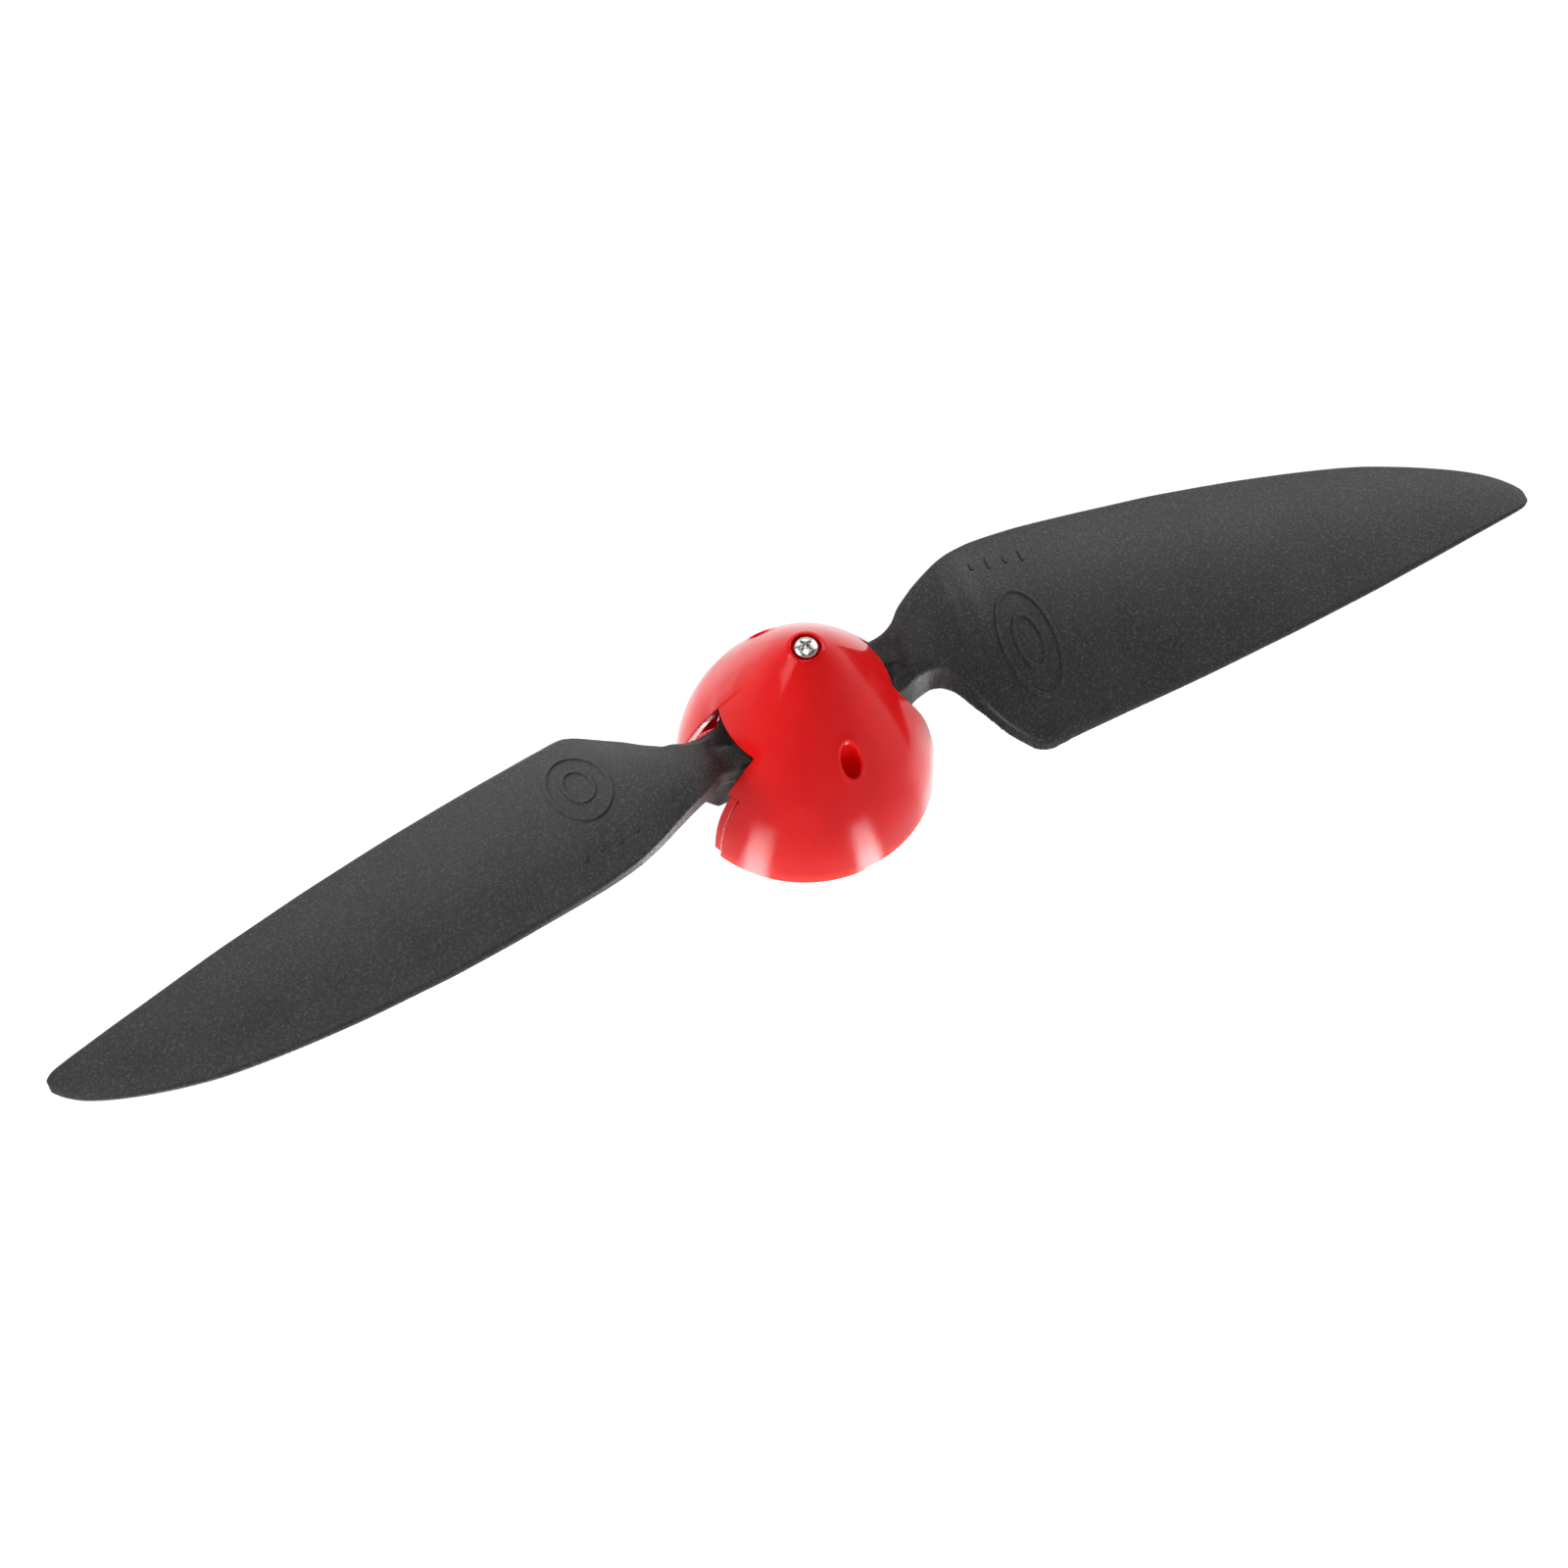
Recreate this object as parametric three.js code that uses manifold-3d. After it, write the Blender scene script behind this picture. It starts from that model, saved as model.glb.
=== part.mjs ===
// Two-blade folding propeller, 8 inch diameter by 6 inch pitch class, with a
// bullet spinner, for a small electric glider.  Millimetres, +Z towards the nose.
// Z is the shaft axis, X runs along the blades, and the origin is the centre of
// the flat rear face of the hub.  The right blade points to +X, its leading edge
// is on the +Y side and is the high side.  The blades are shown relaxed, hanging
// back a little from the plane square to the shaft.
import * as THREE from 'three';
import { mergeVertices, mergeGeometries } from 'three/addons/utils/BufferGeometryUtils.js';
import Module from 'manifold-3d';

// ---------- driving dimensions ----------
const PROP_RADIUS = 101.6;     // blade tip radius, 8 inch diameter
const REAR = 4.4;              // hub rear face below the spinner rim
const SP_R = 16.25;            // spinner rim radius
const SP_PROFILE = [           // outside of the spinner: height above the rim, radius
  [0, SP_R], [3, 16.1], [6, 15.75], [9, 14.98], [12, 13.79], [15, 12.18],
  [18, 10.42], [21, 8.5], [24, 6.45], [27, 4.2], [29.6, 1.95]];
const SP_WALL = 1.2;           // spinner wall
const NOSE_Z = 29.6;           // flat of the nose
const SLOT_TOP = 17.4;         // upper edge of the blade slots
const SLOT_LEAD = 5.2;         // slot edge on the leading side
const SLOT_TRAIL = [           // slot edge on the trailing side: Y, height above the rim
  [-3.05, SLOT_TOP], [-3.9, 13.7], [-4.6, 9.0], [-8.3, -1]];
const KEY_TOP = 11.6;          // top of the recess for the key tab
const HINGE_X = 7.6;           // hinge axis from the shaft axis
const HINGE_Z = 11.5;          // hinge axis above the rim
const KNUCKLE_R = 3.2;         // blade knuckle
const ROOT_W = 5.2;            // blade root width between the cheeks
const CHEEK_IN = 2.9, CHEEK_OUT = 4.4; // yoke cheeks in Y
const COLUMN_R = 4.1;          // hub column
const SHAFT_BORE_R = 1.6;      // bore for a 3.2 mm motor shaft
const ACCESS_X = 1.2, ACCESS_Y = 10.5, ACCESS_R = 1.3; // axial holes in the spinner
const ACCESS_TUBE_R = 2.35, ACCESS_TUBE_Z = 4.6; // and the tube inside round each

const wasm = await Module();
wasm.setup();

// ---------- helpers ----------
function solid(geo) {
  const g = geo.clone();
  g.deleteAttribute('normal'); g.deleteAttribute('uv');
  const m = mergeVertices(g, 1e-4);
  return new wasm.Manifold(new wasm.Mesh({
    numProp: 3,
    vertProperties: new Float32Array(m.attributes.position.array),
    triVerts: new Uint32Array(m.index.array),
  }));
}
function geometry(man) {
  const mesh = man.getMesh();
  const g = new THREE.BufferGeometry();
  g.setAttribute('position', new THREE.BufferAttribute(new Float32Array(mesh.vertProperties), 3));
  g.setIndex(new THREE.BufferAttribute(new Uint32Array(mesh.triVerts), 1));
  g.computeVertexNormals();
  return g;
}
function moved(geo, x = 0, y = 0, z = 0, rx = 0, ry = 0, rz = 0) {
  const m = new THREE.Matrix4().makeRotationFromEuler(new THREE.Euler(rx, ry, rz));
  m.setPosition(x, y, z);
  return geo.clone().applyMatrix4(m);
}
// cylinder along Z from z0 to z1
const cylZ = (r, z0, z1, n = 32, x = 0, y = 0) =>
  solid(moved(new THREE.CylinderGeometry(r, r, z1 - z0, n), x, y, (z0 + z1) / 2, Math.PI / 2));
// cylinder along Y from y0 to y1
const cylY = (r, y0, y1, n = 32, x = 0, z = 0, turn = 0) => {
  const g = new THREE.CylinderGeometry(r, r, y1 - y0, n); g.rotateY(turn);
  return solid(moved(g, x, (y0 + y1) / 2, z));
};
const box = (x0, x1, y0, y1, z0, z1) =>
  solid(moved(new THREE.BoxGeometry(x1 - x0, y1 - y0, z1 - z0), (x0 + x1) / 2, (y0 + y1) / 2, (z0 + z1) / 2));
// body of revolution about Z from a closed list of [radius, z]
function lathe(points, n = 64) {
  const pts = points.map(([r, z]) => new THREE.Vector2(r, z));
  const g = new THREE.LatheGeometry(pts, n);
  g.rotateX(Math.PI / 2);
  let s = solid(g);
  return s;
}
// prism: outline in (y, z), pushed along X
function prismX(outline, x0, x1) {
  const sh = new THREE.Shape(outline.map(([y, z]) => new THREE.Vector2(y, z)));
  const g = new THREE.ExtrudeGeometry(sh, { depth: x1 - x0, bevelEnabled: false });
  // shape x -> Y, shape y -> Z, depth -> X
  const m = new THREE.Matrix4().set(0, 0, 1, x0, 1, 0, 0, 0, 0, 1, 0, 0, 0, 0, 0, 1);
  g.applyMatrix4(m);
  return solid(g);
}
const half = (man) => man.rotate([0, 0, 180]);   // the same shape, half a turn about the shaft

const MATS = {
  red: () => new THREE.MeshStandardMaterial({ color: 0xd01517, roughness: 0.16, metalness: 0 }),
  black: () => new THREE.MeshStandardMaterial({ color: 0x2b2b2c, roughness: 0.62, metalness: 0 }),
  nylon: () => new THREE.MeshStandardMaterial({ color: 0x1c1c1d, roughness: 0.5, metalness: 0 }),
  steel: () => new THREE.MeshStandardMaterial({ color: 0xc9c9c6, roughness: 0.25, metalness: 1 }),
  brass: () => new THREE.MeshStandardMaterial({ color: 0xb8954a, roughness: 0.3, metalness: 1 }),
  dark: () => new THREE.MeshStandardMaterial({ color: 0x3a3a3c, roughness: 0.35, metalness: 1 }),
};
const prop = new THREE.Group();
prop.position.z = REAR;
function add(name, man, mat) {
  const mesh = new THREE.Mesh(geometry(man), MATS[mat]());
  mesh.name = name;
  prop.add(mesh);
  return mesh;
}

// ---------- spinner ----------
function outerR(z) {
  const P = SP_PROFILE;
  let i = 0;
  while (i < P.length - 2 && z > P[i + 1][0]) i++;
  const t = (z - P[i][0]) / (P[i + 1][0] - P[i][0]);
  return P[i][1] + (P[i + 1][1] - P[i][1]) * t;
}
// the inside follows the outside at the wall thickness, measured square to it
const INNER = [];
for (const z of [2, 5, 8, 11, 14, 17, 20, 23, 26]) {
  const slope = (outerR(z + 1) - outerR(z - 1)) / 2, l = Math.hypot(1, slope);
  INNER.push([z + (SP_WALL * slope) / l, outerR(z) - SP_WALL / l]);
}

function spinnerCone() {
  const prof = SP_PROFILE.slice(0, -1).map(([z, r]) => [r, z]);
  prof.push([2.3, 29.35], [1.95, NOSE_Z], [1.85, NOSE_Z], [1.85, 28.5], [1.2, 28.5], [1.2, 20.1], [2.5, 20.1], [2.5, INNER[8][0]]);
  for (const [z, r] of INNER.slice(0, -1).reverse()) prof.push([r, z]);
  prof.push([SP_R - SP_WALL, 0], [SP_R, 0]);
  let s = lathe(prof.reverse(), 60);
  if (s.volume() < 0) s = lathe(prof.reverse(), 60);
  // blade slots, open at the rim, with the recess for the key tab beside each
  const slot = prismX([[SLOT_LEAD, -1], [SLOT_LEAD, SLOT_TOP], ...SLOT_TRAIL], 4.5, 20);
  const key = prismX([[SLOT_LEAD - 1, -1], [SLOT_LEAD + 1.6, -1], [SLOT_LEAD + 1.6, KEY_TOP], [SLOT_LEAD - 1, KEY_TOP]], 4.5, 20);
  const cut = slot.add(key);
  s = s.subtract(cut).subtract(half(cut));
  // axial access holes, each with a tube inside that guides the driver to its screw
  const solidInside = lathe([[0, ACCESS_TUBE_Z], [15.6, ACCESS_TUBE_Z], [outerR(6) - 0.6, 6], [outerR(12) - 0.6, 12], [outerR(18) - 0.6, 18], [outerR(24) - 0.6, 24], [0, 26], [0, ACCESS_TUBE_Z]], 60);
  const tube = cylZ(ACCESS_TUBE_R, ACCESS_TUBE_Z, 22, 24, ACCESS_X, -ACCESS_Y).intersect(solidInside);
  s = s.add(tube).add(half(tube));
  s = s.subtract(cylZ(ACCESS_R, 4, 30, 24, ACCESS_X, -ACCESS_Y)).subtract(cylZ(ACCESS_R, 4, 30, 24, -ACCESS_X, ACCESS_Y));
  return s;
}
add('spinner_cone', spinnerCone(), 'red');

function backplate() {
  let s = lathe([[5.35, 1.0], [14.4, 1.0], [14.0, 2.6], [5.35, 2.6], [5.35, 1.0]], 60);
  const gap = box(8.2, 20, -8.9, 9.4, -1, 5);
  // key tab: stands up beside the slot, following the outside of the spinner
  const skin = (d) => lathe([[0, 0.4], [SP_R - d, 0.4], [outerR(3) - d, 3], [outerR(6) - d, 6], [outerR(9) - d, 9], [outerR(KEY_TOP - 0.3) - d, KEY_TOP - 0.3], [0, KEY_TOP - 0.3], [0, 0.4]], 60);
  const tab = skin(0.4).subtract(skin(1.6).scale([1, 1, 1.2]).translate([0, 0, -1])).intersect(box(8, 20, SLOT_LEAD + 0.05, SLOT_LEAD + 1.35, 0.4, KEY_TOP - 0.3));
  const foot = box(12.2, 13.9, SLOT_LEAD + 0.05, SLOT_LEAD + 1.35, 1.0, 2.6)
    .add(box(7.8, 13.9, SLOT_LEAD + 0.05, SLOT_LEAD + 1.35, 1.0, 2.6));
  s = s.subtract(gap).subtract(half(gap));
  const t = tab.add(foot);
  s = s.add(t).add(half(t));
  s = s.subtract(cylZ(1.3, 0, 4, 20, ACCESS_X, -ACCESS_Y)).subtract(cylZ(1.3, 0, 4, 20, -ACCESS_X, ACCESS_Y));
  return s;
}
add('spinner_backplate', backplate(), 'red');

// ---------- hub ----------
function hubYoke() {
  let s = cylZ(5.6, -REAR, 0, 30).add(cylZ(COLUMN_R, -0.5, 15.0, 30));
  s = s.add(cylZ(7.2, -1.2, 0.7, 30));
  // arms under the backplate that take its two screws
  const arm = box(ACCESS_X - 2.2, ACCESS_X + 2.2, -ACCESS_Y, 0, -1.2, 0.7).add(cylZ(2.2, -2.6, 0.7, 24, ACCESS_X, -ACCESS_Y));
  s = s.add(arm).add(half(arm));
  // cheeks of the yoke
  for (const k of [-1, 1]) {
    const y0 = k > 0 ? CHEEK_IN : -CHEEK_OUT, y1 = k > 0 ? CHEEK_OUT : -CHEEK_IN;
    let c = box(-HINGE_X, HINGE_X, y0, y1, HINGE_Z - 2.4, HINGE_Z + 2.4)
      .add(cylY(2.4, y0, y1, 28, HINGE_X, HINGE_Z)).add(cylY(2.4, y0, y1, 28, -HINGE_X, HINGE_Z))
      .add(box(-5.4, 5.4, y0, y1, 3.0, HINGE_Z)).add(box(-2.4, 2.4, y0, y1, 0.6, 4));
    s = s.add(c);
  }
  // through bore for the brass insert, and the socket of the spinner post
  s = s.subtract(cylZ(3.05, -REAR - 1, 9.4, 32)).subtract(cylZ(2.3, 9, 16, 32));
  // hinge screw holes, and the pocket that stops each nut turning
  const hole = cylY(1.2, -8, 8, 20, HINGE_X, HINGE_Z);
  const pocket = cylY(2.62, 3.75, 5, 6, HINGE_X, HINGE_Z);
  s = s.subtract(hole).subtract(half(hole)).subtract(pocket).subtract(half(pocket));
  // radial holes for the two grub screws, and the pilot holes of the arms
  s = s.subtract(cylY(1.2, -9, 9, 20, 0, -2.6));
  s = s.subtract(cylZ(1.0, -2.0, 2, 16, ACCESS_X, -ACCESS_Y)).subtract(cylZ(1.0, -2.0, 2, 16, -ACCESS_X, ACCESS_Y));
  return s;
}
add('hub_yoke', hubYoke(), 'nylon');

add('shaft_insert', cylZ(2.8, -REAR + 0.15, 9.1, 32)
  .subtract(cylZ(SHAFT_BORE_R, -REAR - 1, 10, 28))
  .subtract(cylY(1.2, -4, 4, 20, 0, -2.6)), 'brass');

// grub screws with a hexagon socket
function grub() {
  return cylY(0.95, -5.5, -1.9, 20, 0, -2.6).subtract(cylY(0.5, -6, -4.4, 6, 0, -2.6));
}
add('grub_screw_a', grub(), 'dark');
add('grub_screw_b', half(grub()), 'dark');

// brass post that carries the spinner: round stem, hexagon collar, threaded end
add('spinner_post', cylZ(2.0, 9.7, 19.8, 28).add(cylZ(3.0, 16.0, 17.8, 6)).subtract(cylZ(1.2, 11.5, 21, 24)), 'brass');
add('post_washer', cylZ(3.3, 15.3, 15.75, 32).subtract(cylZ(2.3, 15, 16, 28)), 'steel');

// cross recess cutter for a screw head whose top is at z
function cross(z, depth, w = 0.42, l = 1.05) {
  return box(-l, l, -w / 2, w / 2, z - depth, z + 1).add(box(-w / 2, w / 2, -l, l, z - depth, z + 1));
}
function panScrew(headR, headH, shankR, length, n = 20) {
  // head top at z = headH, seat at z = 0
  let s = lathe([[0, headH], [headR * 0.55, headH * 0.96], [headR * 0.85, headH * 0.72], [headR, headH * 0.35], [headR, 0],
    [shankR, 0], [shankR, -length + 0.5], [shankR * 0.55, -length], [0, -length]].reverse(), n);
  return s.subtract(cross(headH, headH * 0.55, headR * 0.28, headR * 0.62));
}
add('nose_screw', panScrew(1.6, 1.15, 0.95, 14.5).translate([0, 0, 28.75]), 'steel');
const bps = panScrew(1.8, 1.2, 0.8, 4.4).translate([ACCESS_X, -ACCESS_Y, 2.85]);
add('backplate_screw_a', bps, 'steel');
add('backplate_screw_b', half(bps), 'steel');

// ---------- hinges ----------
const nut = cylY(2.3, 4.0, 5.4, 6, HINGE_X, HINGE_Z).subtract(cylY(1.15, 3, 6, 20, HINGE_X, HINGE_Z));
const washer = cylY(2.1, -4.95, -4.6, 28, HINGE_X, HINGE_Z).subtract(cylY(1.2, -6, -4, 20, HINGE_X, HINGE_Z));
const pin = panScrew(1.75, 1.0, 0.95, 10.6).rotate([90, 0, 0]).translate([HINGE_X, -5.15, HINGE_Z]);
const bush = cylY(1.75, -2.5, 2.5, 28, HINGE_X, HINGE_Z).subtract(cylY(1.2, -4, 4, 24, HINGE_X, HINGE_Z));
add('hinge_screw_right', pin, 'steel');
add('hinge_screw_left', half(pin), 'steel');
add('hinge_nut_right', nut, 'steel');
add('hinge_nut_left', half(nut), 'steel');
add('hinge_washer_right', washer, 'steel');
add('hinge_washer_left', half(washer), 'steel');
add('blade_bush_right', bush, 'brass');
add('blade_bush_left', half(bush), 'brass');

// ---------- blades ----------
// station: x, leading edge y and mid height, trailing edge y and mid height,
// camber, then thickness at the leading edge, in the middle and at the trailing edge,
// and how far the upper face stops short of the trailing edge
const STATIONS = [
  [11.0, 4.7, 13.9, -2.3, 12.1, 0.1, 2.6, 3.7, 4.8, 0.9],
  [12.5, 4.95, 14.9, -2.3, 12, 0.15, 2.6, 4.35, 6, 1.2],
  [14.0, 5.45, 15.9, -2.2, 12.65, 0.3, 2.6, 4.35, 5.3, 1.4],
  [15.5, 6.75, 16.6, -2.2, 13.12, 0.5, 2.6, 4.35, 4.55, 1.2],
  [17.0, 7.65, 17.1, -2.9, 13.32, 0.8, 2.6, 4.1, 3.45, 1],
  [18.5, 8.45, 17.5, -4.6, 12.55, 1.2, 2.6, 3.65, 1.75, 1.2],
  [20.0, 9.2, 17.6, -6.8, 10.9, 1.55, 2.6, 3.6, 1.4, 1.4],
  [21.5, 9.95, 17.6, -8.8, 9.4, 1.85, 2.5, 3.6, 1.2, 1.2],
  [23.0, 10.65, 17.4, -10.6, 7.9, 2.1, 2.4, 3.5, 1.1, 1],
  [24.5, 11.25, 17.05, -12, 7, 2.25, 2.3, 3.5, 1.05, 0.8],
  [26.0, 11.7, 16.6, -13.15, 6.35, 2.3, 2.2, 3.4, 1, 0.6],
  [27.5, 12.1, 16.15, -13.55, 6.2, 2.3, 2.1, 3.35, 0.95, 0.5],
  [31.0, 12.6, 15.15, -13.15, 6.1, 2.25, 2, 3.2, 0.9, 0.45],
  [35.0, 12.92, 14.1, -12.7, 5.75, 2.15, 1.9, 3.1, 0.9, 0.4],
  [40.0, 13.1, 12.7, -12.15, 5.25, 2, 1.8, 2.95, 0.85, 0.35],
  [46.0, 13.25, 10.95, -11.45, 4.55, 1.85, 1.6, 2.75, 0.85, 0.3],
  [52.0, 13.25, 9.3, -10.7, 3.85, 1.65, 1.5, 2.6, 0.8, 0.3],
  [58.0, 13, 7.7, -9.8, 3.1, 1.5, 1.4, 2.4, 0.8, 0.25],
  [64.0, 12.65, 6.05, -8.9, 2.3, 1.3, 1.3, 2.2, 0.8, 0.25],
  [70.0, 12.1, 4.45, -7.85, 1.45, 1.1, 1.2, 2, 0.75, 0.2],
  [76.0, 11.35, 2.9, -6.8, 0.6, 0.95, 1.15, 1.8, 0.75, 0.2],
  [82.0, 10.35, 1.35, -5.6, -0.3, 0.75, 1.05, 1.6, 0.7, 0.2],
  [87.0, 9, 0.05, -4.55, -1.1, 0.6, 1, 1.45, 0.7, 0.15],
  [91.5, 7.45, -1.05, -3.6, -1.75, 0.45, 0.9, 1.25, 0.65, 0.1],
  [95.5, 5.75, -2, -2.75, -2.4, 0.3, 0.85, 1.1, 0.65, 0.1],
  [98.5, 4.05, -2.75, -2.1, -2.9, 0.18, 0.8, 0.95, 0.6, 0.1],
  [100.6, 2.2, -3.25, -1.5, -3.3, 0.08, 0.7, 0.8, 0.6, 0.05],
  [PROP_RADIUS, 0.9, -3.5, -0.75, -3.5, 0.02, 0.6, 0.65, 0.55, 0],
];
const TS = [0, 0.012, 0.045, 0.11, 0.22, 0.38, 0.56, 0.74, 0.89, 0.97, 1];
function section([x, yl, zl, yt, zt, camber, tl, tm, tt, bevel]) {
  const chord = yl - yt;
  const top = [], bottom = [];
  for (const t of TS) {
    const y = yl + (yt - yl) * t;
    const mid = zl + (zt - zl) * t + camber * Math.sin(Math.PI * Math.pow(t, 0.85)) ;
    let th = t < 0.35 ? tl + (tm - tl) * Math.sin((t / 0.35) * Math.PI / 2) : tt + (tm - tt) * Math.cos(((t - 0.35) / 0.65) * Math.PI / 2);
    // thin edges are rounded over, thick ones stay blunt with a small radius
    const rl = Math.min(tl * 0.5, 0.6) / chord, rt = Math.min(tt * 0.5, 0.6) / chord;
    const bl = Math.min(0.8, Math.max(0, 1 - 1.2 / tl)), bt = Math.min(0.8, Math.max(0, 1 - 1.2 / tt));
    if (t < rl) th *= bl + (1 - bl) * Math.sqrt(Math.max(0, 1 - ((rl - t) / rl) ** 2));
    if (t > 1 - rt) th *= bt + (1 - bt) * Math.sqrt(Math.max(0, 1 - ((t - 1 + rt) / rt) ** 2));
    th = Math.max(th, 0.12);
    top.push([x, y + bevel * t * t, mid + th / 2]); bottom.push([x, y, mid - th / 2]);
  }
  return top.concat(bottom.reverse());
}
function loft(rings) {
  const n = rings[0].length, pos = [], idx = [];
  for (const r of rings) for (const p of r) pos.push(...p);
  for (let i = 0; i + 1 < rings.length; i++) for (let j = 0; j < n; j++) {
    const a = i * n + j, b = i * n + (j + 1) % n, c = a + n, d = b + n;
    idx.push(a, c, b, b, c, d);
  }
  for (const [k, flip] of [[0, true], [rings.length - 1, false]]) {
    const base = k * n;
    // strip cap between the top and the bottom runs
    for (let j = 0; j < n / 2 - 1; j++) {
      const t0 = base + j, t1 = base + j + 1, b0 = base + n - 1 - j, b1 = base + n - 2 - j;
      const quad = [[t0, b0, t1], [t1, b0, b1]];
      for (const q of quad) flip ? idx.push(q[0], q[2], q[1]) : idx.push(...q);
    }
  }
  const g = new THREE.BufferGeometry();
  g.setAttribute('position', new THREE.BufferAttribute(new Float32Array(pos), 3));
  g.setIndex(idx);
  let s = solid(g);
  if (s.volume() < 0) {
    for (let i = 0; i < idx.length; i += 3) [idx[i + 1], idx[i + 2]] = [idx[i + 2], idx[i + 1]];
    g.setIndex(idx);
    s = solid(g);
  }
  return s;
}
// root block: runs from the knuckle out under the blade and fades into it
function block(x, y0, y1, z0, z1, r = 0.7) {
  const out = [];
  for (const [cy, cz, a] of [[y1 - r, z1 - r, 0], [y0 + r, z1 - r, 90], [y0 + r, z0 + r, 180], [y1 - r, z0 + r, 270]])
    for (const d of [0, 45, 90]) {
      const th = THREE.MathUtils.degToRad(a + d);
      out.push([x, cy + r * Math.cos(th), cz + r * Math.sin(th)]);
    }
  return out;
}
function blade() {
  const W = ROOT_W / 2;
  const foil = loft(STATIONS.map(section));
  const root = loft([
    block(HINGE_X, -W, W, HINGE_Z - 3.1, HINGE_Z + 3.1),
    block(10.5, -W, W, 8.6, 14.6), block(12.5, -2.2, 2.4, 9.0, 14.6), block(14.5, -1.6, 2.2, 10.0, 15.2),
    block(16.5, -1.5, 2.0, 11.2, 15.4), block(18.5, -1.4, 1.8, 12.0, 15.2, 0.6), block(20.5, -1.3, 1.6, 12.6, 14.9, 0.6),
    block(23.0, -1.1, 1.4, 12.8, 14.2, 0.5)]);
  // shoulder that closes the leading half of the slot, over the yoke's cheek
  const shoulder = box(8.7, 12.6, 1.5, 4.85, 14.3, 16.3).subtract(cylY(2.95, 2.6, 6, 36, HINGE_X, HINGE_Z));
  // deep web under the leading side of the root, outboard of the cheek
  const web = prismX([[-18.0, 16.2], [-18.0, 14.2], [-16.5, 11.7], [-15.2, 9.8], [-14.0, 8.2], [-12.0, 8.2], [-10.75, 10.2], [-10.75, 16.2]], 1.0, 4.85).rotate([0, 0, 90]);
  return cylY(KNUCKLE_R, -W, W, 36, HINGE_X, HINGE_Z).add(root).add(foil).add(shoulder).add(web)
    .subtract(cylY(2.0, -5, 5, 28, HINGE_X, HINGE_Z));
}
const right = blade();
add('blade_right', right, 'black');
add('blade_left', half(right), 'black');

export default prop;
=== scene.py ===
import math
import bpy
import numpy as np
from mathutils import Matrix, Vector


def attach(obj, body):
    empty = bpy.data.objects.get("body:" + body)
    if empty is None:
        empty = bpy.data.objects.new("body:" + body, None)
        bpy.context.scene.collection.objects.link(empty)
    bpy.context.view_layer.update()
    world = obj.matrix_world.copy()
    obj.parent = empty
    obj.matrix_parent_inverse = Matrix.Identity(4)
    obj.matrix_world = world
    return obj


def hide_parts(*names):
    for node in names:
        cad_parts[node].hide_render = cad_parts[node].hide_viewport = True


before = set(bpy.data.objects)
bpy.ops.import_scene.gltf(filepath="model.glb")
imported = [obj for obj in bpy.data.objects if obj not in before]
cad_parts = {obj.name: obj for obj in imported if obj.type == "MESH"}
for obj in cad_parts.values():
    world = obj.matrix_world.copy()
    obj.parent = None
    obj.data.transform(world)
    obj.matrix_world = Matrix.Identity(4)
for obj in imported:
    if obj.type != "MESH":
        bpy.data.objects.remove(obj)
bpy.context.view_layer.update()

MM = 0.001
REAR = 4.4          # the spinner rim plane stands this far above the origin, mm
F = np.float32

# ------------------------------------------------------------------ implicit surfaces
def smax(a, b, k):
    h = np.maximum(k - np.abs(a - b), 0) / k
    return np.maximum(a, b) + h * h * (k * 0.25)

def smin(a, b, k):
    return -smax(-a, -b, k)

def length(*v):
    s = v[0] * v[0]
    for w in v[1:]:
        s = s + w * w
    return np.sqrt(s)

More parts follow.
